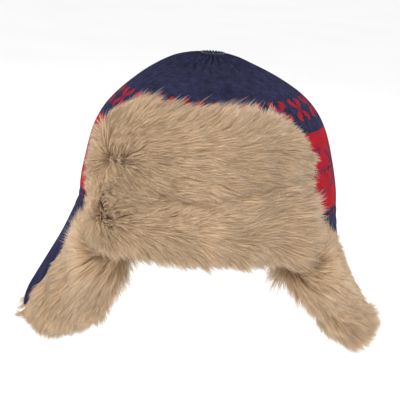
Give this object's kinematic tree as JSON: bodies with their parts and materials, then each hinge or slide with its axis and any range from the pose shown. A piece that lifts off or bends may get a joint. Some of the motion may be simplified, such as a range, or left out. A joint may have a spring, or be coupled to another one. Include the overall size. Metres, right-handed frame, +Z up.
{
  "type": "trapper hat",
  "caption": "Knitted trapper hat: padded dome crown, wide turned-up faux-fur front flap that folds down, and two fur-lined ear flaps hinged at the hem.",
  "frame": {"origin": "centre of the head opening, in the plane of the hem, where a head holds the hat", "axes": "+Z up through the crown's top, -Y towards the wearer's front, +X towards the wearer's left"},
  "size_m": [0.3022, 0.2484, 0.2353],
  "materials": {
    "navy_knit": "fine-gauge jacquard knit, navy with red figures",
    "wadding": "soft polyester wadding",
    "lining_fleece": "brushed fleece",
    "sewing_thread": "spun polyester thread",
    "label_tape": "woven satin tape",
    "backing_cloth": "plain knitted backing",
    "interlining": "non-woven interlining",
    "faux_fur": "long-pile tan faux fur"
  },
  "bodies": {
    "crown": {"crown_shell": "navy_knit", "crown_wadding": "wadding", "crown_lining": "lining_fleece", "crown_gather_thread": "sewing_thread", "lining_seam_thread": "sewing_thread", "care_label": "label_tape"},
    "front_flap": {"front_flap_backing": "backing_cloth", "front_flap_interlining": "interlining", "front_flap_fur": "faux_fur", "front_flap_seam_thread": "sewing_thread"},
    "left_ear_flap": {"left_flap_shell": "navy_knit", "left_flap_wadding": "wadding", "left_flap_fur": "faux_fur", "left_flap_seam_thread": "sewing_thread"},
    "right_ear_flap": {"right_flap_shell": "navy_knit", "right_flap_wadding": "wadding", "right_flap_fur": "faux_fur", "right_flap_seam_thread": "sewing_thread"}
  },
  "joints": [
    {"name": "front_flap_fold", "type": "hinge", "parent": "crown", "child": "front_flap", "pos_m": [0, -0.117, -0.004], "axis": [1, 0, 0], "range_deg": [0, 90], "stiffness_Nm_per_rad": 0.25, "springref_deg": -6.88},
    {"name": "left_ear_flap_fold", "type": "hinge", "parent": "crown", "child": "left_ear_flap", "pos_m": [-0.09796, -0.03492, -0.0008], "axis": [-0.284, 0.9588, 0], "range_deg": [-10, 115], "stiffness_Nm_per_rad": 0.12, "springref_deg": 1.72},
    {"name": "right_ear_flap_fold", "type": "hinge", "parent": "crown", "child": "right_ear_flap", "pos_m": [0.09796, -0.03492, -0.0008], "axis": [-0.284, -0.9588, 0], "range_deg": [-10, 115], "stiffness_Nm_per_rad": 0.12, "springref_deg": 2.86}
  ]
}
